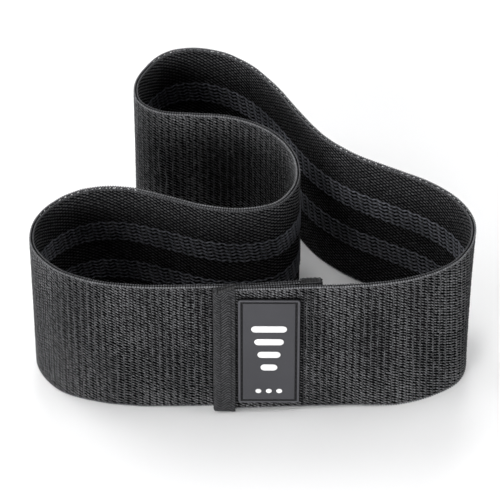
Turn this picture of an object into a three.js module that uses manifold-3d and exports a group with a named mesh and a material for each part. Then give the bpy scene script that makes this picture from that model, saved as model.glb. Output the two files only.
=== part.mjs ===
// Fabric resistance band: one elastic webbing strip, closed into a loop by a taped lap seam with a sewn-on
// rubber label. The loop stands on its edge, pinched in from the left.
// Millimetres, +Z up. The origin is at the centre of the loop's box, on the surface it stands on.

import * as THREE from "three";
import { mergeVertices } from "three/addons/utils/BufferGeometryUtils.js";
import Module from "manifold-3d";

const wasm = await Module();
wasm.setup();

// The webbing
const WIDTH = 80;                 // from edge to edge, which stands upright
const FACE = 0.75;                // thickness of each knitted face
const CORE = 0.6;                 // thickness of the rubber core between the faces
const PLY_GAP = 0.05;             // between neighbouring plies
const CORE_RECESS = 0.9;          // the core stops this far inside both edges
const HALF = FACE + CORE / 2 + PLY_GAP;   // half the webbing's thickness
const LIFT = 1.4;                 // the outer end is sewn on this far above the surface
const LIFT_FADE = 110;            // length over which the lifted edge comes down again

// The grip threads, two stripes of them on the inner face
const GRIP_COUNT = 6;             // threads in a stripe
const GRIP_PITCH = 2.1;
const GRIP_OFFSET = 12.5;         // from mid-width to the middle of each stripe
const GRIP_WIDTH = 1.2;
const GRIP_HEIGHT = 0.4;
const GRIP_END = 1;               // from each tape's edge to where the threads begin

// The lap seam
const TAPE = 0.75;                // thickness of the binding tape
const TAPE_WIDTH = 8.4;           // of each leg that the tape folds over the webbing's end
const TAPE_OVERHANG = 0.5;        // of the outer tape, past both edges
const TAPE_GAP = 0.1;
const TAPE_ROW = 3.9;             // from the outer end to the middle of the left-hand seam
const TAPE_ROW_SPACING = 5;       // between its two stitch rows
const SEAM_ROW = 42.7;            // from the outer end to the middle of the right-hand seam
const SEAM_ROW_SPACING = 3;
const LAP = 48;                   // how far the two ends overlap
const THREAD = 0.3;               // thickness of the sewing thread
const THREAD_GAP = 0.08;
const STITCH = 5;                 // length of one stitch
const STITCH_RISE = 0.06;         // how far the thread stands up in the middle of a stitch
const STITCH_MARGIN = 1.5;        // from the webbing's lower edge to a row's first stitch

// The label
const LABEL_WIDTH = 29.5;
const LABEL_HEIGHT = 68.7;
const LABEL_LOW = 5.3;            // from the webbing's lower edge
const LABEL_LEFT = 9.7;           // from the webbing's outer end
const LABEL_SKEW = 0.05;          // its right side sits lower, this much for each millimetre across
const LABEL_THICK = 1.2;
const LABEL_CORNER = 1.5;
const LABEL_GAP = 0.3;
const GROOVE_INSET = 1.1;         // from the label's edge to the sewing groove
const GROOVE_WIDTH = 1.5;
const GROOVE_DEPTH = 0.6;
const MARK = 0.25;                // thickness of the raised marks
const BAR_LENGTHS = [8, 11, 14, 17];
const BAR_WIDTH = 4;
const BAR_CORNER = 1.99;          // almost half the width, so that the ends are round
const BAR_FIRST = -10;            // the shortest bar's height from the label's middle
const BAR_PITCH = 8.5;
const DOT = 1.4;                  // radius
const DOT_ROW = -26;              // the dots' height from the label's middle
const DOT_PITCH = 5;

// How finely the curved strip is stepped
const STEP_TURN = THREE.MathUtils.degToRad(11);
const STEP_LENGTH = 15;
const SHORTEST_STEP = 0.5;        // between a strip's own end and the nearest station
const LENGTH_SAMPLES = 4000;      // for measuring along the route
const FOLD_SEGMENTS = 5;          // round a tape's fold
const CORNER_SEGMENTS = 3;        // round a corner of the label
const BAR_SEGMENTS = 4;
const DOT_SIDES = 12;
const THREAD_SIDES = 4;

// The middle of the webbing in plan, from its outer end under the label, round the right lobe, along the
// back, round the back lobe, into the pinch, round the front lobe and in behind the label.
const ROUTE = [
  [-16.4, -86.364], [-2, -85.5], [13, -84.6], [28, -83.7], [43, -82.8], [58, -81.3], [72, -78.5],
  [86, -73], [97.2, -64.8], [104.6, -51.8], [105.5, -37.6], [99, -23.4], [85.4, -10.8], [67.2, -0.7],
  [49.5, 9.4], [34.8, 22.6], [23, 40.2], [12, 58.8], [-0.8, 75.2], [-15.2, 85.2], [-30.6, 88.5],
  [-43.4, 84.4], [-52.2, 73.8], [-57.2, 61.4], [-55.6, 49], [-45.6, 41.2], [-29, 39], [-12, 37.3],
  [4, 30.6], [16, 18.6], [22, 3.2], [21, -12.6], [12, -25.2], [-4, -29.8], [-22, -27.8],
  [-42, -20.6], [-62, -14.5], [-80, -15.8], [-94, -24.3], [-103.3, -38.3], [-104, -54.8], [-93, -70.3],
  [-76, -78.8], [-57, -82.3], [-38, -82.9], [-20, -82.4], [-2, -81.9], [14, -80.5], [31.2, -79.1],
];

const COLOURS = {
  knit: { color: 0x34353a, roughness: 0.92, metalness: 0 },
  inner: { color: 0x222328, roughness: 0.95, metalness: 0 },
  rubber: { color: 0x17171a, roughness: 0.7, metalness: 0 },
  grip: { color: 0x3c3e4e, roughness: 0.6, metalness: 0 },
  tape: { color: 0x2e2f34, roughness: 0.85, metalness: 0 },
  label: { color: 0x3d3d44, roughness: 0.5, metalness: 0 },
  mark: { color: 0xf0f0f0, roughness: 0.5, metalness: 0 },
  thread: { color: 0x1d1d20, roughness: 0.7, metalness: 0 },
};

// The strip's stations: points along the route, closer together where it turns, each with its distance from
// the outer end and the direction that points out of the loop.
function makeStations() {
  const points = ROUTE.map(([x, y]) => new THREE.Vector3(x, y, 0));
  const curve = new THREE.CatmullRomCurve3(points, false, "centripetal");
  curve.arcLengthDivisions = LENGTH_SAMPLES;
  const length = curve.getLength();
  const fine = Math.round(length);
  const stations = [];
  let lastAngle = 0;
  let lastDistance = 0;
  for (let i = 0; i <= fine; i++) {
    const along = curve.getTangentAt(i / fine);
    const angle = Math.atan2(along.y, along.x);
    const turned = Math.abs(Math.atan2(Math.sin(angle - lastAngle), Math.cos(angle - lastAngle)));
    const distance = (i / fine) * length;
    const first = i === 0;
    const last = i === fine;
    const due = turned >= STEP_TURN || distance - lastDistance >= STEP_LENGTH;
    if (first || last || due) {
      const out = new THREE.Vector3(along.y, -along.x, 0);
      stations.push({ distance, point: curve.getPointAt(i / fine), out });
      lastAngle = angle;
      lastDistance = distance;
    }
  }
  return stations;
}

const stations = makeStations();
const LENGTH = stations.at(-1).distance;

function smooth(t) {
  const u = THREE.MathUtils.clamp(t, 0, 1);
  return u * u * (3 - 2 * u);
}

// The edge is lifted at the outer end of the strip, which is sewn on a little high.
function liftAt(distance) {
  return LIFT * smooth(1 - distance / LIFT_FADE);
}

// Bends a flat geometry round the loop. Flat, x is the distance along the strip, y the height above its
// lower edge and z the distance out of its middle.
function bend(geometry) {
  const position = geometry.attributes.position;
  const point = new THREE.Vector3();
  const out = new THREE.Vector3();
  for (let i = 0; i < position.count; i++) {
    const distance = position.getX(i);
    let k = stations.findIndex((station) => station.distance > distance);
    k = k < 0 ? stations.length - 1 : Math.max(1, k);
    const from = stations[k - 1];
    const to = stations[k];
    const share = (distance - from.distance) / (to.distance - from.distance);
    point.lerpVectors(from.point, to.point, share);
    out.lerpVectors(from.out, to.out, THREE.MathUtils.clamp(share, 0, 1)).normalize();
    point.addScaledVector(out, position.getZ(i));
    position.setXYZ(i, point.x, point.y, position.getY(i) + liftAt(distance));
  }
  geometry.computeVertexNormals();
  return geometry;
}

const band = new THREE.Group();

function add(name, finish, geometry) {
  const mesh = new THREE.Mesh(geometry, new THREE.MeshStandardMaterial(COLOURS[finish]));
  mesh.name = name;
  band.add(mesh);
}

// A flat strip stepped at the stations between start and end. Its section is a list of [height, out].
function strip(start, end, section) {
  const between = (distance) => distance > start + SHORTEST_STEP && distance < end - SHORTEST_STEP;
  const inside = stations.map((station) => station.distance).filter(between);
  const steps = [start, ...inside, end];
  const count = steps.length - 1;
  const outline = new THREE.Shape(section.map(([height, out]) => new THREE.Vector2(height, out)));
  const geometry = new THREE.ExtrudeGeometry(outline, { depth: count, steps: count, bevelEnabled: false });
  const position = geometry.attributes.position;
  for (let i = 0; i < position.count; i++) {
    const step = Math.round(position.getZ(i));
    position.setXYZ(i, steps[step], position.getX(i), position.getY(i));
  }
  return geometry;
}

function ply(margin, outLow, outHigh) {
  const low = margin;
  const high = WIDTH - margin;
  return bend(strip(0, LENGTH, [[low, outLow], [high, outLow], [high, outHigh], [low, outHigh]]));
}

function addWebbing() {
  add("outer_knit_face", "knit", ply(0, HALF - FACE, HALF));
  add("elastic_core", "rubber", ply(CORE_RECESS, -CORE / 2, CORE / 2));
  add("inner_knit_face", "inner", ply(0, -HALF, FACE - HALF));
}

// Each grip thread is a low ridge that runs along the inner face between the two taped ends.
function addGripThreads() {
  const start = TAPE_WIDTH + GRIP_END;
  const root = -HALF - PLY_GAP;
  for (const [stripe, side] of [["upper", 1], ["lower", -1]]) {
    for (let i = 0; i < GRIP_COUNT; i++) {
      const height = WIDTH / 2 + side * GRIP_OFFSET - (i - (GRIP_COUNT - 1) / 2) * GRIP_PITCH;
      const low = [height - GRIP_WIDTH / 2, root];
      const high = [height + GRIP_WIDTH / 2, root];
      const crest = [height, root - GRIP_HEIGHT];
      add(`grip_thread_${stripe}_${i + 1}`, "grip", bend(strip(start, LENGTH - start, [low, high, crest])));
    }
  }
}

// A binding tape folded over one raw end of the webbing, as a U in plan. It runs from low to high.
function tapeGeometry(end, towards, low, high) {
  const inner = HALF + TAPE_GAP;
  const outer = inner + TAPE;
  const leg = end + towards * TAPE_WIDTH;
  const shape = new THREE.Shape();
  shape.moveTo(leg, outer);
  shape.lineTo(end, outer);
  const halfTurn = towards * Math.PI;
  shape.absarc(end - towards * TAPE_GAP, 0, outer, Math.PI / 2, halfTurn + Math.PI / 2, towards < 0);
  shape.lineTo(leg, -outer);
  shape.lineTo(leg, -inner);
  shape.lineTo(end - towards * TAPE_GAP, -inner);
  shape.lineTo(end - towards * TAPE_GAP, inner);
  shape.lineTo(leg, inner);
  return extrude(shape, high - low, FOLD_SEGMENTS).rotateX(Math.PI / 2).translate(0, high, 0);
}

function addTapes() {
  const outer = tapeGeometry(0, 1, -TAPE_OVERHANG, WIDTH + TAPE_OVERHANG);
  const inner = tapeGeometry(LENGTH, -1, 0, WIDTH);
  add("outer_end_tape", "tape", bend(outer));
  add("inner_end_tape", "tape", bend(inner));
}

// How far a stitch stands off its surface, from the end of one stitch to the end of the next.
function stitchRise(run) {
  return STITCH_RISE * (1 - Math.cos((2 * Math.PI * run) / STITCH)) / 2;
}

// An upright row of stitches as one thread, on the side of the webbing that `side` gives.
function stitchRow(distance, surface, side) {
  const length = Math.floor((WIDTH - 2 * STITCH_MARGIN) / STITCH) * STITCH;
  const steps = (2 * length) / STITCH;
  const geometry = new THREE.CylinderGeometry(THREAD / 2, THREAD / 2, length, THREAD_SIDES, steps);
  geometry.translate(distance, WIDTH / 2, 0);
  const position = geometry.attributes.position;
  for (let i = 0; i < position.count; i++) {
    const off = surface + THREAD_GAP + THREAD / 2 + stitchRise(position.getY(i) - STITCH_MARGIN);
    position.setZ(i, side * off + position.getZ(i));
  }
  return geometry;
}

// The rows are lockstitched, so each has a needle thread outside and a bobbin thread inside.
function addSeams() {
  const overTape = HALF + TAPE_GAP + TAPE;
  const overGrip = HALF + PLY_GAP + GRIP_HEIGHT;
  for (let i = 0; i < 2; i++) {
    const row = i + 1;
    const left = TAPE_ROW + (i - 0.5) * TAPE_ROW_SPACING;
    const right = SEAM_ROW + (i - 0.5) * SEAM_ROW_SPACING;
    add(`tape_needle_thread_${row}`, "thread", bend(stitchRow(left, overTape, 1)));
    add(`tape_bobbin_thread_${row}`, "thread", bend(stitchRow(LENGTH - LAP + left, overGrip, -1)));
    add(`seam_needle_thread_${row}`, "thread", bend(stitchRow(right, HALF, 1)));
    add(`seam_bobbin_thread_${row}`, "thread", bend(stitchRow(LENGTH - LAP + right, overTape, -1)));
  }
}

function roundedRectangle(width, height, corner) {
  const shape = new THREE.Shape();
  const x = width / 2 - corner;
  const y = height / 2 - corner;
  shape.absarc(x, y, corner, 0, Math.PI / 2);
  shape.absarc(-x, y, corner, Math.PI / 2, Math.PI);
  shape.absarc(-x, -y, corner, Math.PI, 1.5 * Math.PI);
  shape.absarc(x, -y, corner, 1.5 * Math.PI, 2 * Math.PI);
  shape.closePath();
  return shape;
}

function extrude(shape, depth, curveSegments) {
  return new THREE.ExtrudeGeometry(shape, { depth, curveSegments, bevelEnabled: false });
}

function toManifold(geometry) {
  const bare = geometry.clone();
  bare.deleteAttribute("normal");
  bare.deleteAttribute("uv");
  const merged = mergeVertices(bare);
  return new wasm.Manifold(new wasm.Mesh({
    numProp: 3,
    vertProperties: new Float32Array(merged.attributes.position.array),
    triVerts: new Uint32Array(merged.index.array),
  }));
}

function fromManifold(solid) {
  const mesh = solid.getMesh();
  const geometry = new THREE.BufferGeometry();
  geometry.setAttribute("position", new THREE.BufferAttribute(new Float32Array(mesh.vertProperties), 3));
  geometry.setIndex(new THREE.BufferAttribute(new Uint32Array(mesh.triVerts), 1));
  return geometry;
}

// Skews a geometry drawn about the label's middle and moves it to the label's place, `out` from the
// webbing's middle.
function atLabel(geometry, out) {
  const skew = new THREE.Matrix4().set(1, 0, 0, 0, -LABEL_SKEW, 1, 0, 0, 0, 0, 1, 0, 0, 0, 0, 1);
  const across = LABEL_LEFT + LABEL_WIDTH / 2;
  const up = LABEL_LOW + LABEL_HEIGHT / 2;
  return geometry.applyMatrix4(skew).translate(across, up, out);
}

// The label's outline, or a line this far inside it.
function labelOutline(inset) {
  return roundedRectangle(LABEL_WIDTH - 2 * inset, LABEL_HEIGHT - 2 * inset, LABEL_CORNER);
}

// The label is a moulded plate with a sewing groove just inside its raised rim.
function addLabel() {
  const plate = extrude(labelOutline(0), LABEL_THICK, CORNER_SEGMENTS);
  const grooveShape = labelOutline(GROOVE_INSET);
  grooveShape.holes.push(labelOutline(GROOVE_INSET + GROOVE_WIDTH));
  const groove = extrude(grooveShape, LABEL_THICK, CORNER_SEGMENTS);
  groove.translate(0, 0, LABEL_THICK - GROOVE_DEPTH);
  const cut = fromManifold(toManifold(plate).subtract(toManifold(groove)));
  add("label_patch", "label", bend(atLabel(cut, HALF + LABEL_GAP)));
}

// A thread loop that runs round the label, as a torus drawn out into a rounded rectangle.
function labelThread(surface, side) {
  const inset = GROOVE_INSET + GROOVE_WIDTH / 2;
  const path = labelOutline(inset);
  const round = 2 * (LABEL_WIDTH + LABEL_HEIGHT - 4 * inset);
  const count = 2 * Math.round(round / STITCH);
  const geometry = new THREE.TorusGeometry(1, THREAD / 2, THREAD_SIDES, count);
  const position = geometry.attributes.position;
  const loop = path.getSpacedPoints(count);
  const run = path.getLength() / count;
  for (let i = 0; i < position.count; i++) {
    const radius = Math.hypot(position.getX(i), position.getY(i));
    const angle = Math.atan2(position.getY(i), position.getX(i));
    const k = (Math.round((angle / (2 * Math.PI)) * count) + count) % count;
    const before = loop[(k + count - 1) % count];
    const after = loop[(k + 1) % count];
    const outwards = new THREE.Vector2(after.y - before.y, before.x - after.x).normalize();
    const at = loop[k].clone().addScaledVector(outwards, radius - 1);
    const off = surface + THREAD_GAP + THREAD / 2 + stitchRise(k * run);
    position.setXYZ(i, at.x, at.y, side * off + position.getZ(i));
  }
  return atLabel(geometry, 0);
}

function addLabelThreads() {
  const overGrip = HALF + PLY_GAP + GRIP_HEIGHT;
  const grooveFloor = HALF + LABEL_GAP + LABEL_THICK - GROOVE_DEPTH;
  add("label_needle_thread", "thread", bend(labelThread(grooveFloor, 1)));
  add("label_bobbin_thread", "thread", bend(labelThread(overGrip, -1)));
}

// Plain raised marks: four bars that grow in length, and three dots below them.
function addLabelMarks() {
  const out = HALF + LABEL_GAP + LABEL_THICK + PLY_GAP;
  BAR_LENGTHS.forEach((length, i) => {
    const outline = roundedRectangle(length, BAR_WIDTH, BAR_CORNER);
    const bar = extrude(outline, MARK, BAR_SEGMENTS).translate(0, BAR_FIRST + i * BAR_PITCH, 0);
    add(`label_bar_${i + 1}`, "mark", bend(atLabel(bar, out)));
  });
  for (let i = 0; i < 3; i++) {
    const dot = new THREE.CylinderGeometry(DOT, DOT, MARK, DOT_SIDES).rotateX(Math.PI / 2);
    dot.translate((i - 1) * DOT_PITCH, DOT_ROW, MARK / 2);
    add(`label_dot_${i + 1}`, "mark", bend(atLabel(dot, out)));
  }
}

addWebbing();
addGripThreads();
addTapes();
addSeams();
addLabel();
addLabelThreads();
addLabelMarks();

const middle = new THREE.Box3().setFromObject(band).getCenter(new THREE.Vector3());
band.position.set(-middle.x, -middle.y, 0);

export default band;
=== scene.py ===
"""The looks of the fabric resistance band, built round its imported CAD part.

Each piece is drawn flat on the strip and then bent round the loop. A flat point is (distance, height, out),
in millimetres: distance along the strip from its outer end, height above its lower edge, and out of its
middle, away from the inside of the loop.
"""

import math

import bpy
import numpy as np
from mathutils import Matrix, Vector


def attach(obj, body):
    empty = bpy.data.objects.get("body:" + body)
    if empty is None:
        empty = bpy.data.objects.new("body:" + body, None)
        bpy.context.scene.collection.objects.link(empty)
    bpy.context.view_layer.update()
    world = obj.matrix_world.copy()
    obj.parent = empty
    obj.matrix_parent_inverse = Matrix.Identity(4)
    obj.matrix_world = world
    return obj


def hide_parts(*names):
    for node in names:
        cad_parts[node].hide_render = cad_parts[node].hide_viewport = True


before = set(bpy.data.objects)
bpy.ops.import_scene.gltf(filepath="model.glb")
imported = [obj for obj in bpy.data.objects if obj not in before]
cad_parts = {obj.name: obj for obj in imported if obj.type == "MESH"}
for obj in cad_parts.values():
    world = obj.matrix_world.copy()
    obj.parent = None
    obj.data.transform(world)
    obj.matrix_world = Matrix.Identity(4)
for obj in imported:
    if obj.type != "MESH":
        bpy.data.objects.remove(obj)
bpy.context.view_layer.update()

MM = 0.001
rng = np.random.default_rng(7)

# The webbing, as in the CAD part
WIDTH = 80                      # from edge to edge, which stands upright
HALF = 1.1                      # half its thickness
CORE_HALF = 0.3
LIFT = 1.4                      # the outer end is sewn on this far above the floor
LIFT_FADE = 110                 # length over which the lifted edge comes down again
LAP = 48                        # how far the two ends overlap

# Where the webbing's dark backing and its core lie, under the yarns
FACE_BACK = 0.35
CORE_RECESS = 1.3               # the core stops this far inside both edges
CORE_LOOP_PITCH = 1.3
CORE_LOOP_SIZE = 0.25
CORE_STEP = 0.33
GROUND_INSET = 1.1              # the backing stops here, so that the loops stand clear of it
GROUND_SCALLOP = 0.12
GROUND_STEP = 0.4

# Outer face: upright cords, and short slanting threads between them
RIB_PITCH = 3.4
GROUND = 0.5
WALE_OUT = 0.68
WALE_RADIUS = 0.38
WALE_LOW = 1.275                # height of a cord's first point
WALE_MARGIN = 0.39              # from the upper edge to its last
WALE_SIDES = 4
FLOAT_PITCH = 1.75
FLOAT_REACH = 1.35              # half a thread's length along the strip
FLOAT_SLOPE = 0.6
FLOAT_HALF = 0.56               # half its width
FLOAT_THICK = 0.42
FLOAT_OUT = 0.8
FLOAT_LOW = 1.2                 # height of the lowest row
FLOAT_MARGIN = 1.1              # the highest row stays this far below the edge
# Painted shade on each thread's points, in the order of bead(): tips, sides, top and back; the top gets
# least
FLOAT_PAINTED_SHADE = (0.95, 0.7, 0.95, 0.7, -0.15, 1)

# Inner face: a finer weave of slanting beads
BEAD_PITCH_ALONG = 1.7
BEAD_PITCH_UP = 2.0
BEAD_REACH = 1.15
BEAD_SLOPE = -0.2
BEAD_HALF = 0.56
BEAD_THICK = 0.3
BEAD_OUT = -0.86
BEAD_MARGIN = 0.8
# Painted shade on each bead's points, in the order of bead(): tips, sides, the face against the webbing, and
# the face into the loop, which gets none
BEAD_PAINTED_SHADE = (0.8, 0.5, 0.8, 0.5, 1, 0)
INNER_GROUND = 0.78

# The yarns that turn back in small loops along the edges
PICOT_PITCH = 1.2
PICOT_SIZE = 0.7
LOWER_LOOPS = 1.05              # height of the lower loops' roots
UPPER_LOOPS = 0.6               # from the upper edge to the upper loops' roots
EDGE_OUT = 0.7
EDGE_RADIUS = 0.45
INNER_EDGE_OUT = -0.72
INNER_EDGE_RADIUS = 0.37
EDGE_STEP = 0.24

# Grip threads
GRIP_COUNT = 6                  # threads in a stripe
GRIP_PITCH = 2.1
GRIP_OFFSET = 12.5              # from mid-width to the middle of each stripe
GRIP_END = 1                    # from each tape's edge to where the threads begin
GRIP_OUT = -1.02
GRIP_RISE = 0.28                # how far a thread stands up where it crosses
GRIP_RADIUS = 0.34
GRIP_WAVE = 5.6
GRIP_SWING = 0.42
GRIP_LAG = 0.55                 # each thread's wave trails the last one's, in radians
GRIP_STEP = 0.7
GRIP_SIDES = 6

# Tapes
TAPE = 0.75                     # thickness
TAPE_WIDTH = 8.4                # of each leg that the tape folds over the webbing's end
TAPE_GAP = 0.1
TAPE_LOW = -0.2                 # height of the outer tape's lower end
TAPE_HIGH = 1.1                 # of its upper end, above the webbing
TAPE_SLOPES = (-0.9, 1.2)       # how much its lower and upper end climb from the fold to the leg's edge
INNER_TAPE_HIGH = 0.5
# Painted shade over the tape's inner face
TAPE_BACK_PAINTED_SHADE = 0.6
FOLD_RISE = 0.02                # of the fold's inner face, which is all but flat
TAPE_COLUMNS = 112
TAPE_ROWS = 396
CORNER_SAG = 1.7                # how far the sewing pulls the webbing's upper corner down
SAG_SHARE = 0.7                 # the share of the width below which it doesn't
TWILL_PITCH = 1.7
TWILL_RELIEF = 0.16
TWILL_SPINES = (3.4, 7.6)       # the first spine, and the distance from one to the next
TWILL_SLANT = 0.9
CORD_PITCH = 1.3                # of the ribs across the tape's closed end

# Seams
THREAD = 0.3                    # thickness of the sewing thread
THREAD_RADIUS = 0.75 * THREAD   # it spreads a little under tension
THREAD_SINK = 0.25              # how far its ends go in
THREAD_RISE = 0.62 * THREAD
THREAD_GAP = 0.08               # over a tape
KNIT_GAP = 0.05                 # over the webbing, and over the label's groove
THREAD_SIDES = 8
STITCH_STEPS = 10
TAPE_ROW = 3.9                  # from the outer end to the middle of the left-hand seam
TAPE_ROW_SPACING = 5            # between its two stitch rows
SEAM_ROW = 42.7                 # from the outer end to the middle of the right-hand seam
SEAM_ROW_SPACING = 3
ROW_LOW = 1.5                   # from the lower edge to a row's first stitch
ROW_HIGH = 3.5                  # from the upper edge to its last
STITCH = 2.5
LABEL_STITCH = 3.0

# Label
LABEL_WIDTH = 29.5
LABEL_HEIGHT = 68.7
LABEL_LOW = 5.3                 # from the webbing's lower edge
LABEL_LEFT = 9.7                # from the webbing's outer end
LABEL_SKEW = 0.05               # its right side sits lower, this much for each millimetre across
LABEL_THICK = 1.2
LABEL_CORNER = 1.5
LABEL_GAP = 0.3
LABEL_FRONT = HALF + LABEL_GAP + LABEL_THICK
GROOVE_INSET = 1.4              # from the label's edge to the sewing groove
GROOVE_WIDTH = 0.85
GROOVE_DEPTH = 0.6
MARK = 0.25                     # thickness of the raised marks
MARK_SINK = 0.05
MARK_BEVEL = 0.14
BAR_LENGTHS = [8, 11, 14, 17]
BAR_WIDTH = 4
BAR_LOW = -10                   # the shortest bar's height from the label's middle
BAR_PITCH = 8.5
DOT_COUNT = 3
DOT_RADIUS = 1.4
DOT_PITCH = 5
DOT_LOW = -26                   # the dots' height from the label's middle

# Floor and camera, in metres and degrees
FLOOR_HALF = 8.0
CAMERA_TARGET = (-0.00141, -0.01631, 0.04)
CAMERA_ELEVATION = 43.5
CAMERA_DISTANCE = 1.955
CAMERA_LENS = 288
CAMERA_SENSOR = 36
CAMERA_FAR = 50

# Soft lights: bearing from the front by way of the right, elevation and softness in degrees, strength
SUNS = [
    ("front", 0, 4, 20, 2.2),
    ("front_left", 330, 9, 24, 3.4),
    ("left", 315, 20, 30, 0.9),
    ("right", 90, 16, 26, 1.4),
    ("back", 180, 20, 30, 1.9),
    ("back_left", 225, 50, 30, 1.2),
    ("high_left", 275, 45, 30, 0.8),
    ("high_right", 135, 50, 30, 0.35),
    ("above", 0, 90, 30, 0.75),
]

# The middle of the webbing in plan, from its outer end under the label round to its inner end, and the
# place in that plan which the frame puts at its origin
ROUTE = [
    (-16.4, -86.364), (-2, -85.5), (13, -84.6), (28, -83.7), (43, -82.8), (58, -81.3), (72, -78.5),
    (86, -73), (97.2, -64.8), (104.6, -51.8), (105.5, -37.6), (99, -23.4), (85.4, -10.8), (67.2, -0.7),
    (49.5, 9.4), (34.8, 22.6), (23, 40.2), (12, 58.8), (-0.8, 75.2), (-15.2, 85.2), (-30.6, 88.5),
    (-43.4, 84.4), (-52.2, 73.8), (-57.2, 61.4), (-55.6, 49), (-45.6, 41.2), (-29, 39), (-12, 37.3),
    (4, 30.6), (16, 18.6), (22, 3.2), (21, -12.6), (12, -25.2), (-4, -29.8), (-22, -27.8), (-42, -20.6),
    (-62, -14.5), (-80, -15.8), (-94, -24.3), (-103.3, -38.3), (-104, -54.8), (-93, -70.3),
    (-76, -78.8), (-57, -82.3), (-38, -82.9), (-20, -82.4), (-2, -81.9), (14, -80.5), (31.2, -79.1),
]
MIDDLE = (0.5376, 0.4744)

# How far the lower edge stands out from under the upper one: (distance along the strip, lean)
LEAN = [
    (60, 0), (92, 3), (116, 3.1), (148, -4.3), (180, -3), (235, -1.4), (300, 0), (640, 0), (658, -0.7),
    (690, 1.3), (712, 0.4), (745, 0),
]


# How finely the route is stepped
CURVE_STEPS = 60                # between two points of the route
STATIONS_PER_MM = 4
TURN_BLUR = 12                  # stations on each side over which the direction is evened out


# ---------------------------------------------------------------- the strip and how it bends

def centripetal(points, steps):
    """Points along an open centripetal Catmull-Rom curve, with this many steps between two of its points."""
    p = np.array(points, float)
    p = np.vstack([2 * p[0] - p[1], p, 2 * p[-1] - p[-2]])
    t = np.linspace(0, 1, steps, endpoint=False)[:, None]
    found = []
    for i in range(1, len(p) - 2):
        a, b, c, d = p[i - 1:i + 3]
        ab, bc, cd = (math.sqrt(np.linalg.norm(q)) for q in (b - a, c - b, d - c))
        start = ((b - a) / ab - (c - a) / (ab + bc) + (c - b) / bc) * bc
        end = ((c - b) / bc - (d - b) / (bc + cd) + (d - c) / cd) * bc
        square = -3 * b + 3 * c - 2 * start - end
        cube = 2 * b - 2 * c + start + end
        found.append(b + start * t + square * t ** 2 + cube * t ** 3)
    found.append(p[-2:-1])
    return np.vstack(found)


def make_path():
    """Evenly spaced stations along the strip: their distances, places and directions."""
    fine = centripetal(ROUTE, CURVE_STEPS) - np.array(MIDDLE)
    run = np.concatenate([[0], np.cumsum(np.hypot(*np.diff(fine, axis=0).T))])
    distance = np.linspace(0, run[-1], int(run[-1] * STATIONS_PER_MM))
    place = np.column_stack([np.interp(distance, run, fine[:, k]) for k in (0, 1)])
    along = np.gradient(place, distance, axis=0)
    kernel = np.hanning(2 * TURN_BLUR + 1)
    kernel /= kernel.sum()
    for k in (0, 1):
        padded = np.pad(along[:, k], TURN_BLUR, mode="edge")
        along[:, k] = np.convolve(padded, kernel, mode="valid")
    along /= np.linalg.norm(along, axis=1)[:, None]
    return distance, place, along


DISTANCE, PLACE, ALONG = make_path()
LENGTH = DISTANCE[-1]


def smooth(t):
    """Eases from 0 to 1 as t goes from 0 to 1."""
    u = np.clip(t, 0, 1)
    return u * u * (3 - 2 * u)


def lift_at(distance):
    """The outer end is sewn on a little high, so the lower edge is lifted there."""
    return LIFT * smooth(1 - distance / LIFT_FADE)


def lean_at(distance):
    """How far the lower edge leans out here, eased from one listed distance to the next."""
    knots, leans = np.array(LEAN).T
    k = np.clip(np.searchsorted(knots, distance) - 1, 0, len(knots) - 2)
    share = smooth((distance - knots[k]) / (knots[k + 1] - knots[k]))
    return leans[k] + (leans[k + 1] - leans[k]) * share


def sag_at(distance, height):
    """The sewing pulls the outer end's upper corner down."""
    near_end = smooth(1 - distance / TAPE_WIDTH)
    near_top = smooth((height / WIDTH - SAG_SHARE) / (1 - SAG_SHARE))
    return CORNER_SAG * near_end * near_top


def bend(flat):
    """Flat points, shape (n, 3), as points of the standing loop in metres."""
    distance, height, out = flat.T
    out = out + lean_at(distance) * (1 - height / WIDTH)
    height = height - sag_at(distance, height)
    inside = np.clip(distance, 0, LENGTH)
    x, y = (np.interp(inside, DISTANCE, PLACE[:, k]) for k in (0, 1))
    along_x, along_y = (np.interp(inside, DISTANCE, ALONG[:, k]) for k in (0, 1))
    beyond = distance - inside
    x = x + along_x * beyond + along_y * out
    y = y + along_y * beyond - along_x * out
    return np.column_stack([x, y, height + lift_at(distance)]) * MM


# ---------------------------------------------------------------- meshes

def add_piece(name, flat, faces, material, nodes=(), depth=None):
    """A mesh from flat points and a list of arrays of faces, bent round the loop and fixed to the frame.

    Depth says how far each point is buried in the weave, from 0 to 1, and painted shade darkens its colour
    there.
    """
    mesh = bpy.data.meshes.new(name)
    corners = np.concatenate([f.ravel() for f in faces])
    sizes = np.concatenate([np.full(len(f), f.shape[1]) for f in faces])
    mesh.vertices.add(len(flat))
    mesh.vertices.foreach_set("co", bend(flat).astype(np.float32).ravel())
    mesh.loops.add(len(corners))
    mesh.loops.foreach_set("vertex_index", corners.astype(np.int32))
    mesh.polygons.add(len(sizes))
    starts = np.concatenate([[0], np.cumsum(sizes)[:-1]])
    mesh.polygons.foreach_set("loop_start", starts.astype(np.int32))
    mesh.update(calc_edges=True)
    mesh.polygons.foreach_set("use_smooth", np.full(len(sizes), True))
    layer = mesh.uv_layers.new(name="strip")
    layer.data.foreach_set("uv", (flat[corners, :2] * MM).astype(np.float32).ravel())
    if depth is not None:
        attribute = mesh.attributes.new("depth", "FLOAT", "POINT")
        attribute.data.foreach_set("value", depth.astype(np.float32))
    mesh.materials.append(material)
    piece = bpy.data.objects.new(name, mesh)
    bpy.context.scene.collection.objects.link(piece)
    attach(piece, "root")
    if nodes:
        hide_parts(*nodes)
    return piece


def grid_faces(rows, columns):
    """Quads of a grid of points, counted row by row, whose last column joins its first."""
    r, c = (a.ravel() for a in np.meshgrid(np.arange(rows - 1), np.arange(columns), indexing="ij"))
    here, above = r * columns, (r + 1) * columns
    n = (c + 1) % columns
    return np.column_stack([here + c, here + n, above + n, above + c])


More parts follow.
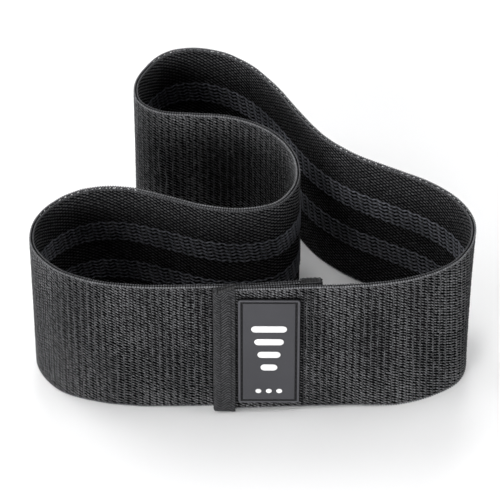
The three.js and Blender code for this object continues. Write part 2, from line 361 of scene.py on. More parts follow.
def loft(rings):
    """Points and faces of a closed tube through rings, shape (rows, sides, 3), with capped ends."""
    rows, sides, _ = rings.shape
    faces = [grid_faces(rows, sides)]
    cap = np.arange(sides)
    faces.append(np.array([cap[::-1]]))
    faces.append(np.array([cap + (rows - 1) * sides]))
    return rings.reshape(-1, 3), faces


def tube(path, radius, sides, flatten=1.0, closed=False):
    """Points and faces of a thread along flat points. Radius may differ from point to point."""
    path = np.asarray(path, float)
    if closed:
        ahead = np.roll(path, -1, axis=0) - np.roll(path, 1, axis=0)
    else:
        ahead = np.gradient(path, axis=0)
    ahead /= np.linalg.norm(ahead, axis=1)[:, None]
    side = np.cross(ahead, [0, 0, 1.0])
    side /= np.linalg.norm(side, axis=1)[:, None]
    up = np.cross(side, ahead)
    turn = 2 * np.pi * np.arange(sides) / sides
    radius = np.broadcast_to(radius, len(path))[:, None, None]
    spread = side[:, None] * np.cos(turn)[None, :, None]
    spread = spread + up[:, None] * (np.sin(turn) * flatten)[None, :, None]
    rings = path[:, None] + spread * radius
    if closed:
        rings = np.concatenate([rings, rings[:1]])
        points = rings[:-1].reshape(-1, 3)
        faces = grid_faces(len(rings), sides) % (len(path) * sides)
        return points, [faces]
    return loft(rings)


def merge(parts):
    """Several (points, faces) as one."""
    points, faces, count = [], {}, 0
    for part_points, part_faces in parts:
        points.append(part_points)
        for f in part_faces:
            faces.setdefault(f.shape[1], []).append(f + count)
        count += len(part_points)
    return np.vstack(points), [np.vstack(f) for f in faces.values()]


def repeat(points, faces, offsets):
    """The same small shape at every offset."""
    count = len(offsets)
    moved = (offsets[:, None] + points[None]).reshape(-1, 3)
    step = (np.arange(count) * len(points))[:, None, None]
    return moved, [(f[None] + step).reshape(-1, f.shape[1]) for f in faces]


def wobble(distance, size, length, seed):
    """Slow random variation along a run of distances."""
    source = np.random.default_rng(seed)
    knots = np.arange(-1, distance.max() / length + 3)
    values = source.uniform(-size, size, len(knots))
    return np.interp(distance / length, knots, values)


# ---------------------------------------------------------------- materials

WAVE_UNIT = 10                  # a wave texture of scale 1 has this many bands in pi metres
FIBRES_PER_METRE = 3600
FIBRE_DEPTH = 0.00008


def new_material(name):
    """A node material, its tree and its main shader."""
    material = bpy.data.materials.new(name)
    material.use_nodes = True
    tree = material.node_tree
    return material, tree, tree.nodes["Principled BSDF"]


def noise(tree, scale, detail):
    """Object-space noise, with as many patches in a metre as scale says."""
    where = tree.nodes.new("ShaderNodeTexCoord")
    texture = tree.nodes.new("ShaderNodeTexNoise")
    texture.inputs["Scale"].default_value = scale
    texture.inputs["Detail"].default_value = detail
    tree.links.new(where.outputs["Object"], texture.inputs["Vector"])
    return texture.outputs["Fac"]


def ramp(tree, factor, low, high, dark, light):
    """A two-colour ramp between two values of factor."""
    node = tree.nodes.new("ShaderNodeValToRGB")
    node.color_ramp.elements[0].position = low
    node.color_ramp.elements[0].color = (*dark, 1)
    node.color_ramp.elements[1].position = high
    node.color_ramp.elements[1].color = (*light, 1)
    tree.links.new(factor, node.inputs["Fac"])
    return node.outputs["Color"]


def multiply(tree, a, b):
    """One colour times another."""
    node = tree.nodes.new("ShaderNodeMix")
    node.data_type = "RGBA"
    node.blend_type = "MULTIPLY"
    node.inputs["Factor"].default_value = 1
    tree.links.new(a, node.inputs["A"])
    tree.links.new(b, node.inputs["B"])
    return node.outputs["Result"]


def bump(tree, shader, height, strength, distance):
    """Roughens the shader's surface by a height, in metres where it is 1."""
    node = tree.nodes.new("ShaderNodeBump")
    node.inputs["Strength"].default_value = strength
    node.inputs["Distance"].default_value = distance
    tree.links.new(height, node.inputs["Height"])
    tree.links.new(node.outputs["Normal"], shader.inputs["Normal"])


def strip_wave(tree, turn, per_metre, distortion):
    """Bands across the strip's own flat plane, turned by an angle and a little uneven."""
    layer = tree.nodes.new("ShaderNodeUVMap")
    layer.uv_map = "strip"
    mapping = tree.nodes.new("ShaderNodeMapping")
    mapping.inputs["Rotation"].default_value = (0, 0, turn)
    texture = tree.nodes.new("ShaderNodeTexWave")
    texture.wave_type = "BANDS"
    texture.bands_direction = "X"
    texture.inputs["Scale"].default_value = per_metre * math.pi / WAVE_UNIT
    texture.inputs["Distortion"].default_value = distortion
    tree.links.new(layer.outputs["UV"], mapping.inputs["Vector"])
    tree.links.new(mapping.outputs["Vector"], texture.inputs["Vector"])
    return texture.outputs["Fac"]


def paint_buried_shade(tree, colour, darkest):
    """Paints shade into a colour where the surface is buried, by its depth attribute."""
    depth = tree.nodes.new("ShaderNodeAttribute")
    depth.attribute_name = "depth"
    buried = ramp(tree, depth.outputs["Fac"], 0, 1, (1, 1, 1), (darkest,) * 3)
    return multiply(tree, colour, buried)


def yarn(name, dark, light, roughness=0.88, sheen=0.04, gloss=0.08, fibre_turn=0.6):
    """Spun yarn: patchy colour, painted shade where it dips into the weave, fine twisted fibres, a soft
    sheen.
    """
    material, tree, shader = new_material(name)
    patchy = ramp(tree, noise(tree, 900, 3), 0.3, 0.72, dark, light)
    slow = ramp(tree, noise(tree, 28, 3), 0.3, 0.7, (0.8, 0.8, 0.8), (1, 1, 1))
    colour = paint_buried_shade(tree, multiply(tree, patchy, slow), 0.06)
    tree.links.new(colour, shader.inputs["Base Color"])
    shader.inputs["Roughness"].default_value = roughness
    shader.inputs["Specular IOR Level"].default_value = gloss
    shader.inputs["Sheen Weight"].default_value = sheen
    shader.inputs["Sheen Roughness"].default_value = 0.45
    bump(tree, shader, strip_wave(tree, fibre_turn, FIBRES_PER_METRE, 2.5), 0.6, FIBRE_DEPTH)
    return material


def moulded(name, dark, light, roughness, grain, depth, specular=0.5):
    """Soft moulded rubber: even colour with painted shade by its depth attribute, a fine grain and slightly
    uneven gloss.
    """
    material, tree, shader = new_material(name)
    colour = ramp(tree, noise(tree, 60, 4), 0.3, 0.7, dark, light)
    tree.links.new(paint_buried_shade(tree, colour, 0.1), shader.inputs["Base Color"])
    shader.inputs["Specular IOR Level"].default_value = specular
    gloss = tree.nodes.new("ShaderNodeMapRange")
    gloss.inputs["To Min"].default_value = roughness - 0.06
    gloss.inputs["To Max"].default_value = roughness + 0.06
    tree.links.new(noise(tree, 240, 2), gloss.inputs["Value"])
    tree.links.new(gloss.outputs["Result"], shader.inputs["Roughness"])
    bump(tree, shader, noise(tree, grain, 2), 0.35, depth)
    return material


outer_yarn = yarn("outer_yarn", (0.107, 0.108, 0.112), (0.235, 0.237, 0.246))
wale_yarn = yarn("wale_yarn", (0.04, 0.041, 0.043), (0.085, 0.086, 0.091), fibre_turn=1.2)
# Near-black backing: painted shade for the gaps between the outer yarns
outer_ground = yarn("outer_ground", (0.002, 0.002, 0.0023), (0.005, 0.005, 0.0055), sheen=0, gloss=0)
edge_yarn = yarn("edge_yarn", (0.08, 0.081, 0.085), (0.19, 0.192, 0.2))
inner_edge_yarn = yarn("inner_edge_yarn", (0.05, 0.051, 0.054), (0.11, 0.111, 0.118))
inner_yarn = yarn("inner_yarn", (0.062, 0.062, 0.065), (0.14, 0.141, 0.147), sheen=0.12)
# Near-black backing: painted shade for the gaps between the inner beads
inner_ground = yarn("inner_ground", (0.003, 0.003, 0.0035), (0.008, 0.008, 0.009), sheen=0, gloss=0)
core_rubber = moulded("core_rubber", (0.003, 0.003, 0.0035), (0.008, 0.008, 0.009), 0.6, 1500, 0.0001, 0.1)
grip_latex = moulded("grip_latex", (0.08, 0.085, 0.1), (0.175, 0.18, 0.21), 0.5, 1800, 0.00015, 0.3)
tape_yarn = yarn("tape_yarn", (0.028, 0.028, 0.03), (0.078, 0.079, 0.083))
label_rubber = moulded(
    "label_rubber", (0.042, 0.042, 0.047), (0.048, 0.048, 0.054), 0.5, 2600, 0.00003, 0.2,
)
mark_print = moulded("mark_print", (0.5, 0.5, 0.5), (0.6, 0.6, 0.6), 0.5, 2000, 0.00003)
black_thread = yarn("black_thread", (0.006, 0.006, 0.007), (0.018, 0.018, 0.02), roughness=0.6)


# ---------------------------------------------------------------- the webbing

def slab(inset, back, front, step, rim):
    """A strip with a rectangular section, inset from both edges, which are scalloped by rim(distance)."""
    distance = np.append(np.arange(0, LENGTH, step), LENGTH)
    low, high = inset, WIDTH - inset
    section = [(low, back, -1), (low, front, -1), (high, front, 1), (high, back, 1)]
    rings = np.empty((len(distance), 4, 3))
    for k, (height, out, way) in enumerate(section):
        edge = height + way * rim(distance)
        rings[:, k] = np.column_stack([distance, edge, np.full(len(distance), out)])
    if front < back:
        rings = rings[:, ::-1]
    return loft(rings)


def scallops(pitch, size):
    """Small arches along an edge."""
    return lambda distance: size * np.abs(np.sin(np.pi * distance / pitch))


def label_drop(distance):
    """How far the askew label has sunk at this distance, from its middle."""
    return LABEL_SKEW * (distance - LABEL_LEFT - LABEL_WIDTH / 2)


def pressed_and_shadowed_at(distance, height):
    """How far the weave is pulled in, from 0 to 1: along the right-hand seam and round the label. The same
    share darkens the yarns there as painted shadow.
    """
    rows = [SEAM_ROW + way * SEAM_ROW_SPACING / 2 for way in (-1, 1)]
    seam = sum(smooth(1 - np.abs(distance - row) / 1.3) for row in rows)
    across = np.abs(distance - LABEL_LEFT - LABEL_WIDTH / 2) - LABEL_WIDTH / 2
    up = np.abs(height + label_drop(distance) - LABEL_LOW - LABEL_HEIGHT / 2)
    beside = np.maximum(across, up - LABEL_HEIGHT / 2)
    return np.clip(seam * 0.6 + smooth(1.4 - beside / 1.2), 0, 1)


def outer_wales():
    """The low upright cords that the slanting floats dive under, between their columns."""
    parts, depths = [], []
    height = np.arange(WALE_LOW, WIDTH - WALE_MARGIN, FLOAT_PITCH / 2)
    for k in range(int(LENGTH / RIB_PITCH)):
        beat = np.where(np.arange(len(height)) % 2, -1, 1)
        worn = wobble(height, 1.3, 2.4, 7000 + k)
        distance = (k + 0.5) * RIB_PITCH + 0.16 * beat + wobble(height, 0.3, 6, 1000 + k)
        pressed_and_shadowed = pressed_and_shadowed_at(distance, height)
        out = WALE_OUT + 0.05 * beat + 0.05 * worn - 0.25 * pressed_and_shadowed
        radius = WALE_RADIUS + 0.06 * beat + 0.08 * worn
        path = np.column_stack([distance, height, out])
        parts.append(tube(path, radius, WALE_SIDES, flatten=0.7))
        # Painted shade where the cord dips, painted shadow round the label and seam, and uneven wear
        buried = np.clip(0.4 - 0.32 * worn - 0.22 * beat + 0.4 * pressed_and_shadowed, 0, 1)
        depths.append(np.repeat(buried, WALE_SIDES))
    return *merge(parts), np.concatenate(depths)


def bead(reach, slope, width, thickness):
    """A short slanting thread that tapers to both ends: two tips, two sides, its top and its back."""
    points = [(reach, -reach * slope, 0), (0, width, 0), (-reach, reach * slope, 0), (0, -width, 0)]
    points += [(0, 0, thickness), (0, 0, -thickness)]
    faces = []
    for k in range(4):
        n = (k + 1) % 4
        faces += [(k, n, 4), (n, k, 5)]
    return np.array(points, float), np.array(faces)


def patches(distance, height, seed):
    """Soft irregular patches over the strip, from -1 to 1."""
    source = np.random.default_rng(seed)
    total = np.zeros(len(distance))
    for _ in range(7):
        wave, turn, phase = source.uniform(9, 60), source.uniform(0, np.pi), source.uniform(0, 2 * np.pi)
        total += np.sin(2 * np.pi * (distance * math.cos(turn) + height * math.sin(turn)) / wave + phase)
    return np.tanh(total / 2)


def outer_floats():
    """Short slanting threads, two columns to a rib, laid like bricks and falling to the right."""
    spacing = RIB_PITCH / 2
    columns = np.arange(int(LENGTH / spacing) - 3)
    rows = np.arange(int((WIDTH - 2 * FLOAT_LOW) / FLOAT_PITCH) + 1)
    column, row = (a.ravel() for a in np.meshgrid(columns, rows, indexing="ij"))
    count = len(column)
    start = (0.5 * (column % 2) + rng.uniform(0, 0.25, len(columns))[column]) * FLOAT_PITCH
    centre = np.column_stack([
        (column + 1.5) * spacing + rng.uniform(-0.22, 0.22, count),
        FLOAT_LOW + row * FLOAT_PITCH + start + rng.uniform(-0.2, 0.2, count),
        np.full(count, FLOAT_OUT),
    ])
    centre[:, 1] = np.minimum(centre[:, 1], WIDTH - FLOAT_MARGIN)
    patch = patches(centre[:, 0], centre[:, 1], 5)
    pressed_and_shadowed = pressed_and_shadowed_at(centre[:, 0], centre[:, 1])
    centre[:, 2] += 0.06 * patch + rng.uniform(-0.06, 0.06, count) - 0.2 * pressed_and_shadowed
    shape, faces = bead(FLOAT_REACH, FLOAT_SLOPE, FLOAT_HALF, FLOAT_THICK)
    edge = (2 * centre[:, 1] / WIDTH - 1) ** 2
    fatten = 0.92 + 0.16 * patch + 0.4 * edge + rng.uniform(-0.2, 0.2, count)
    drop = 1 + 0.3 * patches(centre[:, 0], centre[:, 1], 6) + rng.uniform(-0.15, 0.15, count)
    points = np.repeat(shape[None], count, axis=0)
    line = -points[:, :, 0] * FLOAT_SLOPE
    points[:, :, 1] = line * drop[:, None] + (points[:, :, 1] - line) * fatten[:, None]
    points = (points + centre[:, None]).reshape(-1, 3)
    step = (np.arange(count) * len(shape))[:, None, None]
    # Random wear, and painted shadow along the seam and round the label
    worn = 0.12 * (1 - patch) + rng.uniform(0, 0.45, count) + 0.45 * pressed_and_shadowed
    depth = np.clip(np.array(FLOAT_PAINTED_SHADE)[None] + worn[:, None], 0, 1).ravel()
    return points, [(faces[None] + step).reshape(-1, 3)], depth


def inner_beads():
    """The small raised beads of the inner face's weave, laid like slanting bricks."""
    columns = np.arange(int(LENGTH / BEAD_PITCH_ALONG))
    rows = np.arange(int((WIDTH - BEAD_PITCH_UP) / BEAD_PITCH_UP) + 1)
    column, row = (a.ravel() for a in np.meshgrid(columns, rows, indexing="ij"))
    count = len(column)
    centre = np.column_stack([
        (column + 0.5) * BEAD_PITCH_ALONG + rng.uniform(-0.12, 0.12, count),
        BEAD_MARGIN + (row + 0.5 * (column % 2)) * BEAD_PITCH_UP + rng.uniform(-0.14, 0.14, count),
        np.full(count, BEAD_OUT),
    ])
    centre[:, 1] = np.minimum(centre[:, 1], WIDTH - BEAD_MARGIN)
    shape, faces = bead(BEAD_REACH, BEAD_SLOPE, BEAD_HALF, BEAD_THICK)
    points, faces = repeat(shape, [faces], centre)
    depth = np.clip(np.array(BEAD_PAINTED_SHADE) + rng.uniform(0, 0.4, count)[:, None], 0, 1)
    return points, faces, depth.ravel()


def edge_yarns(out, radius, seed):
    """The yarn that turns back at both edges of a face, in small loops."""
    parts, depths = [], []
    distance = np.arange(0.5, LENGTH - 0.5, EDGE_STEP)
    for edge, way in ((LOWER_LOOPS, -1), (WIDTH - UPPER_LOOPS, 1)):
        loop = np.sin(np.pi * distance / PICOT_PITCH) ** 2
        path = np.column_stack([
            distance,
            edge + way * (PICOT_SIZE * loop - 0.15) + wobble(distance, 0.1, 5, seed),
            out + wobble(distance, 0.06, 4, seed + 1),
        ])
        parts.append(tube(path, radius * (0.5 + 0.6 * loop), 6))
        # Painted shade between the small loops
        depths.append(np.repeat(np.clip(1 - 1.3 * loop, 0, 1), 6))
        seed += 2
    return *merge(parts), np.concatenate(depths)


def add_outer_face():
    """The outer face's backing, and the yarns that lie on it."""
    rim = scallops(RIB_PITCH / 2, GROUND_SCALLOP)
    points, faces = slab(GROUND_INSET, FACE_BACK, GROUND, GROUND_STEP, rim)
    ground = add_piece("outer_ground", points, faces, outer_ground, ["outer_knit_face"])
    yarns = []
    for name, shape, material in (
        ("outer_wales", outer_wales(), wale_yarn),
        ("outer_floats", outer_floats(), outer_yarn),
        ("outer_edge_yarn", edge_yarns(EDGE_OUT, EDGE_RADIUS, 50), edge_yarn),
    ):
        points, faces, depth = shape
        yarns.append(add_piece(name, points, faces, material, depth=depth))
    return ground, yarns


def add_inner_face():
    """The inner face's backing, and the yarns that lie on it."""
    rim = scallops(RIB_PITCH / 2, GROUND_SCALLOP)
    points, faces = slab(GROUND_INSET, -FACE_BACK, -INNER_GROUND, GROUND_STEP, rim)
    ground = add_piece("inner_ground", points, faces, inner_ground, ["inner_knit_face"])
    yarns = []
    for name, shape, material in (
        ("inner_weave_beads", inner_beads(), inner_yarn),
        ("inner_edge_yarn", edge_yarns(INNER_EDGE_OUT, INNER_EDGE_RADIUS, 60), inner_edge_yarn),
    ):
        points, faces, depth = shape
        yarns.append(add_piece(name, points, faces, material, depth=depth))
    return ground, yarns


def add_core():
    """The covered rubber threads between the faces, as one strip."""
    rim = scallops(CORE_LOOP_PITCH, CORE_LOOP_SIZE)
    points, faces = slab(CORE_RECESS, -CORE_HALF, CORE_HALF, CORE_STEP, rim)
    return add_piece("covered_rubber_core", points, faces, core_rubber, ["elastic_core"])


def grip_thread(height, lag, seed):
    """One wavy grip thread at this height, which stands up where it crosses and is painted lighter there,
    with painted shade where it lies low.
    """
    start = TAPE_WIDTH + GRIP_END
    distance = np.arange(start, LENGTH - start, GRIP_STEP)
    phase = 2 * np.pi * distance / GRIP_WAVE + lag
    swing = GRIP_SWING * np.tanh(1.6 * np.sin(phase))
    rise = np.abs(np.cos(phase))
    up = height + swing + wobble(distance, 0.12, 9, seed)
    path = np.column_stack([distance, up, GRIP_OUT - GRIP_RISE * rise])
    points, faces = tube(path, GRIP_RADIUS + 0.1 * rise, GRIP_SIDES, flatten=0.75)
    # Painted shade where the thread lies low, none where it stands up
    return points, faces, np.repeat(np.clip(0.95 - 1.1 * rise, 0, 1), GRIP_SIDES)


def add_grip_threads():
    """Two stripes of grip threads on the inner face."""
    for stripe, side in (("upper", 1), ("lower", -1)):
        for i in range(GRIP_COUNT):
            height = WIDTH / 2 + side * GRIP_OFFSET - (i - (GRIP_COUNT - 1) / 2) * GRIP_PITCH
            points, faces, depth = grip_thread(height, GRIP_LAG * i, 300 + 10 * i + side)
            ending = f"{stripe}_{i + 1}"
            nodes = ["grip_thread_" + ending]
            add_piece("grip_yarn_" + ending, points, faces, grip_latex, nodes, depth)


# ---------------------------------------------------------------- the lap seam

def tape_section(end, towards):
    """The U that a tape makes in plan: the run along it, and its outer and inner face's distance and out."""
    inner = HALF + TAPE_GAP
    outer = inner + TAPE
    arc = np.pi * outer
    run = np.linspace(0, 2 * TAPE_WIDTH + arc, TAPE_COLUMNS)
    leg = np.maximum(np.maximum(TAPE_WIDTH - run, run - TAPE_WIDTH - arc), 0)
    turned = np.clip(run - TAPE_WIDTH, 0, arc) / outer
    folded = (run >= TAPE_WIDTH) & (run <= TAPE_WIDTH + arc)
    root = np.where(folded, end - towards * TAPE_GAP, end)
    distance = root + towards * (leg - outer * np.sin(turned))
    inner_distance = root + towards * (leg - FOLD_RISE * np.sin(turned))
    return run, distance, outer * np.cos(turned), inner_distance, inner * np.cos(turned)


def twill(run, height):
    """Herringbone ridges from -1 to 1, which turn at every spine across the tape."""
    first, pitch = TWILL_SPINES
    across = np.abs((run - first) % pitch - pitch / 2)
    return np.sin(2 * np.pi * (height - across * TWILL_SLANT) / TWILL_PITCH)


def tape(end, towards, low, high, slopes):
    """A twill tape folded over one raw end, and the painted shade of each of its points, by how deep it
    lies.

    Its lower and upper end climb by these slopes from the fold to the leg's edge, and the upper one is shut.
    """
    rows, columns = TAPE_ROWS, TAPE_COLUMNS
    run, d, o, inner_d, inner_o = tape_section(end, towards)
    outer_points = np.empty((rows, columns, 3))
    inner_points = np.empty((rows, columns, 3))
    buried = np.full((rows, 2 * columns), TAPE_BACK_PAINTED_SHADE)
    # Painted shade between the ribs across the closed end
    buried[-1, columns:] = 0.4 + 0.4 * np.sin(2 * np.pi * inner_d[::-1] / CORD_PITCH)
    normal_d, normal_o = np.gradient(o), -np.gradient(d)
    size = np.hypot(normal_d, normal_o)
    flip = -1 if towards > 0 else 1
    normal_d, normal_o = flip * normal_d / size, flip * normal_o / size
    from_fold = np.abs(d - end) / TAPE_WIDTH - 0.5
    bottom = low + slopes[0] * from_fold
    top = high + slopes[1] * from_fold
    for j in range(rows):
        z = bottom + (top - bottom) * j / (rows - 1)
        ridge = twill(run, z)
        relief = TWILL_RELIEF * ridge
        outer_points[j] = np.column_stack([d + normal_d * relief, z, o + normal_o * relief])
        inner_points[j] = np.column_stack([inner_d, z, inner_o])
        # Painted shade in the twill's hollows
        buried[j, :columns] = 0.5 - 0.5 * ridge
    section = np.concatenate([outer_points, inner_points[:, ::-1]], axis=1)
    if towards > 0:
        section = section[:, ::-1]
        buried = buried[:, ::-1]
    return section.reshape(-1, 3), tape_faces(towards), buried.ravel()


def tape_faces(towards):
    """The faces of a tape's skin, of both cut ends, and of the lid over the upper end."""
    rows, columns = TAPE_ROWS, TAPE_COLUMNS
    sides = 2 * columns
    k = np.arange(columns - 1)
    cap = np.column_stack([k, sides - 1 - k, sides - 2 - k, k + 1])
    top = (rows - 1) * sides
    first = top if towards > 0 else top + columns
    k = np.arange(columns // 2 - 1)
    lid = first + np.column_stack([k, k + 1, columns - 2 - k, columns - 1 - k])
    return [grid_faces(rows, sides), cap, (cap + top)[:, ::-1], lid]


def add_tapes():
    """The two binding tapes."""
    points, faces, depth = tape(0, 1, TAPE_LOW, WIDTH + TAPE_HIGH, TAPE_SLOPES)
    nodes = ["outer_end_tape"]
    outer = add_piece("outer_twill_tape", points, faces, tape_yarn, nodes, depth)
    points, faces, depth = tape(LENGTH, -1, 0, WIDTH + INNER_TAPE_HIGH, (0, 0))
    nodes = ["inner_end_tape"]
    inner = add_piece("inner_twill_tape", points, faces, tape_yarn, nodes, depth)
    return outer, inner


def stitches(path_at, length, surface, side, stitch):
    """A lockstitched thread along a flat line: each stitch rises out of one hole and sinks into the next."""
    count = max(1, round(length / stitch))
    steps = count * STITCH_STEPS
    run = np.linspace(0, length, steps + 1)
    share = (run / length * count) % 1
    share[-1] = 1
    hump = np.clip(2.2 * np.sin(np.pi * share) - 1.1, 0, 1)
    off = surface - THREAD_SINK + (THREAD_SINK + THREAD_RISE) * hump
    distance, height = path_at(run)
    return np.column_stack([distance, height, side * off])


def add_stitching(node, path, closed=False):
    """One sewing thread along a stitched path."""
    points, faces = tube(path, THREAD_RADIUS, THREAD_SIDES, closed=closed)
    name = node.replace("thread", "stitching")
    add_piece(name, points, faces, black_thread, [node])


def add_row(node, distance, surface, side):
    """One upright stitch row."""
    path = stitches(
        lambda run: (np.full(len(run), distance), ROW_LOW + run),
        WIDTH - ROW_HIGH - ROW_LOW, surface, side, STITCH,
    )
    add_stitching(node, path)


def add_seams():
    """Two stitch rows through each tape, needle thread outside and bobbin thread inside."""
    over_tape = HALF + TAPE_GAP + TAPE + THREAD_GAP
    for row in (1, 2):
        left = TAPE_ROW + (row - 1.5) * TAPE_ROW_SPACING
        right = SEAM_ROW + (row - 1.5) * SEAM_ROW_SPACING
        add_row(f"tape_needle_thread_{row}", left, over_tape, 1)
        add_row(f"tape_bobbin_thread_{row}", LENGTH - LAP + left, HALF, -1)
        add_row(f"seam_needle_thread_{row}", right, HALF + KNIT_GAP, 1)
        add_row(f"seam_bobbin_thread_{row}", LENGTH - LAP + right, over_tape, -1)


# ---------------------------------------------------------------- the label

def rounded_ring(width, height, corner, per_side, per_corner):
    """Points round a rectangle with round corners, about its middle, anticlockwise."""
    corner = max(corner, 0.02)
    x, y = width / 2 - corner, height / 2 - corner
    points = []
    corners = [(x, y, 0), (-x, y, 90), (-x, -y, 180), (x, -y, 270)]
    for i, (cx, cy, start) in enumerate(corners):
        for a in np.radians(np.linspace(start, start + 90, per_corner)):
            points.append((cx + corner * math.cos(a), cy + corner * math.sin(a)))
        next_x, next_y, next_start = corners[(i + 1) % 4]
        a = math.radians(next_start)
        last = np.array(points[-1])
        target = np.array([next_x + corner * math.cos(a), next_y + corner * math.sin(a)])
        for t in np.linspace(0, 1, per_side + 1)[1:-1]:
            points.append(tuple(last + (target - last) * t))
    return np.array(points)


def skewed(distance, height):
    """The label is sewn on a little askew: a height on it sinks towards its right side."""
    return height - label_drop(distance)


def plate(centre, width, height, corner, profile, per_side, per_corner):
    """A moulded plate. Its profile starts with (inset from the edge, out), from the back over the rim."""
    rings = []
    for inset, out, *_ in profile:
        ring = rounded_ring(width - 2 * inset, height - 2 * inset, corner - inset, per_side, per_corner)
        ring = ring + np.array(centre)
        rings.append(np.column_stack([ring[:, 0], skewed(*ring.T), np.full(len(ring), out)]))
    return loft(np.array(rings))


def label_profile():
    """The label's section from its back over the rim and the groove to its middle: (inset, out, depth).
    Depth is painted shade: most in the groove, none on the rim's crest.
    """
    back = HALF + LABEL_GAP
    front = LABEL_FRONT
    floor = front - GROOVE_DEPTH
    outside, inside = GROOVE_INSET, GROOVE_INSET + GROOVE_WIDTH
    rim = [
        (0.15, back, 0.9), (0, back + 0.15, 0.9), (0, front - 0.4, 0.8), (0.1, front - 0.15, 0.5),
        (0.35, front, 0.1), (0.7, front + 0.02, 0), (outside - 0.4, front - 0.03, 0.2),
        (outside - 0.15, front - 0.1, 0.7), (outside, front - 0.25, 1), (outside + 0.12, floor + 0.08, 1),
        (outside + 0.3, floor, 1), (inside - 0.3, floor, 1), (inside - 0.12, floor + 0.08, 1),
        (inside, front - 0.25, 0.9), (inside + 0.15, front - 0.1, 0.45), (inside + 0.4, front - 0.05, 0.35),
    ]
    insets = np.linspace(inside + 1.5, LABEL_WIDTH / 2 - 0.1, 6)
    return rim + [(inset, front - 0.05, 0.35) for inset in insets]


def add_label_plate(middle):
    """The moulded label itself."""
    profile = label_profile()
    points, faces = plate(middle, LABEL_WIDTH, LABEL_HEIGHT, LABEL_CORNER, profile, 40, 7)
    depth = np.repeat([point[2] for point in profile], len(points) // len(profile))
    add_piece("moulded_label", points, faces, label_rubber, ["label_patch"], depth)


def add_label_stitching(middle):
    """The thread round the label in its groove, and the one behind the webbing."""
    inset = GROOVE_INSET + GROOVE_WIDTH / 2
    ring = rounded_ring(LABEL_WIDTH - 2 * inset, LABEL_HEIGHT - 2 * inset, LABEL_CORNER, 200, 9)
    loop = np.vstack([ring, ring[:1]])
    run = np.concatenate([[0], np.cumsum(np.hypot(*np.diff(loop, axis=0).T))])

    def along(distance):
        """The place on the strip at this distance round the label."""
        across = np.interp(distance, run, loop[:, 0]) + middle[0]
        return across, skewed(across, np.interp(distance, run, loop[:, 1]) + middle[1])

    groove = LABEL_FRONT - GROOVE_DEPTH + KNIT_GAP
    for node, surface, side in (("label_needle_thread", groove, 1), ("label_bobbin_thread", HALF, -1)):
        path = stitches(along, run[-1], surface, side, LABEL_STITCH)[:-1]
        add_stitching(node, path, closed=True)


def add_mark(node, centre, length, width, per_side):
    """One raised mark with round ends, on the label."""
    base, top, half = LABEL_FRONT - MARK_SINK, LABEL_FRONT + MARK_SINK + MARK, width / 2
    profile = [(0, base), (0, top - 0.12), (0.05, top - 0.03), (MARK_BEVEL, top), (half - 0.1, top)]
    points, faces = plate(centre, length, width, half - 0.01, profile, per_side, 9)
    add_piece("raised_" + node, points, faces, mark_print, [node])


def add_label():
    """The label, its sewing threads, and its plain raised marks: four bars over three dots."""
    middle = (LABEL_LEFT + LABEL_WIDTH / 2, LABEL_LOW + LABEL_HEIGHT / 2)
    add_label_plate(middle)
    add_label_stitching(middle)
    for i, length in enumerate(BAR_LENGTHS):
        centre = (middle[0], middle[1] + BAR_LOW + i * BAR_PITCH)
        add_mark(f"label_bar_{i + 1}", centre, length, BAR_WIDTH, 8)
    for i in range(DOT_COUNT):
        centre = (middle[0] + (i - (DOT_COUNT - 1) / 2) * DOT_PITCH, middle[1] + DOT_LOW)
        add_mark(f"label_dot_{i + 1}", centre, 2 * DOT_RADIUS, 2 * DOT_RADIUS, 2)


# ---------------------------------------------------------------- floor, light and camera

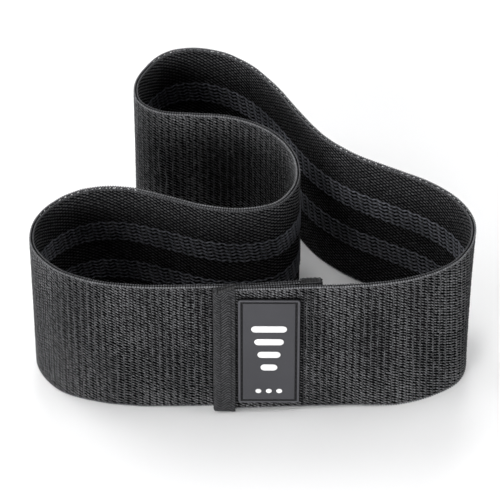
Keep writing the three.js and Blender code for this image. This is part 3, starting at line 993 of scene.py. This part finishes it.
def add_floor():
    """The plain pale surface that the band stands on."""
    mesh = bpy.data.meshes.new("floor")
    corners = [(x * FLOOR_HALF, y * FLOOR_HALF, 0) for x, y in ((-1, -1), (1, -1), (1, 1), (-1, 1))]
    mesh.from_pydata(corners, [], [(0, 1, 2, 3)])
    material, tree, shader = new_material("pale_floor")
    colour = ramp(tree, noise(tree, 3, 2), 0.3, 0.7, (0.86, 0.86, 0.865), (0.88, 0.88, 0.885))
    tree.links.new(colour, shader.inputs["Base Color"])
    shader.inputs["Roughness"].default_value = 0.7
    shader.inputs["Specular IOR Level"].default_value = 0.2
    mesh.materials.append(material)
    floor = bpy.data.objects.new("floor", mesh)
    bpy.context.scene.collection.objects.link(floor)


def add_sun(name, bearing, elevation, softness, strength):
    """A distant soft light. Its bearing is counted from the front, by way of the right-hand side."""
    light = bpy.data.lights.new(name, "SUN")
    light.angle = math.radians(softness)
    light.energy = strength
    lamp = bpy.data.objects.new(name, light)
    turn, rise = math.radians(bearing), math.radians(elevation)
    source = (math.sin(turn) * math.cos(rise), -math.cos(turn) * math.cos(rise), math.sin(rise))
    lamp.rotation_euler = Vector(source).to_track_quat("Z", "Y").to_euler()
    bpy.context.scene.collection.objects.link(lamp)


def add_light():
    """White walls all round: low soft light on the front, fuller light from behind and above."""
    world = bpy.data.worlds.new("studio")
    world.use_nodes = True
    background = world.node_tree.nodes["Background"]
    background.inputs["Color"].default_value = (1, 1, 1, 1)
    background.inputs["Strength"].default_value = 1
    world.cycles_visibility.diffuse = False
    world.cycles_visibility.glossy = False
    bpy.context.scene.world = world
    for light in SUNS:
        add_sun(*light)
    bpy.context.scene.view_settings.view_transform = "Standard"


def add_camera():
    """A long lens in front of the label, looking down."""
    data = bpy.data.cameras.new("camera")
    data.sensor_width = CAMERA_SENSOR
    data.lens = CAMERA_LENS
    data.clip_end = CAMERA_FAR
    camera = bpy.data.objects.new("camera", data)
    bpy.context.scene.collection.objects.link(camera)
    elevation = math.radians(CAMERA_ELEVATION)
    back = np.array([0, -math.cos(elevation), math.sin(elevation)])
    camera.location = np.array(CAMERA_TARGET) + back * CAMERA_DISTANCE
    camera.rotation_euler = (math.pi / 2 - elevation, 0, 0)
    bpy.context.scene.camera = camera


outer_face, outer_yarns = add_outer_face()
inner_face, inner_yarns = add_inner_face()
core_strip = add_core()
add_grip_threads()
outer_tape, inner_tape = add_tapes()
add_seams()
add_label()
add_floor()
add_light()
add_camera()
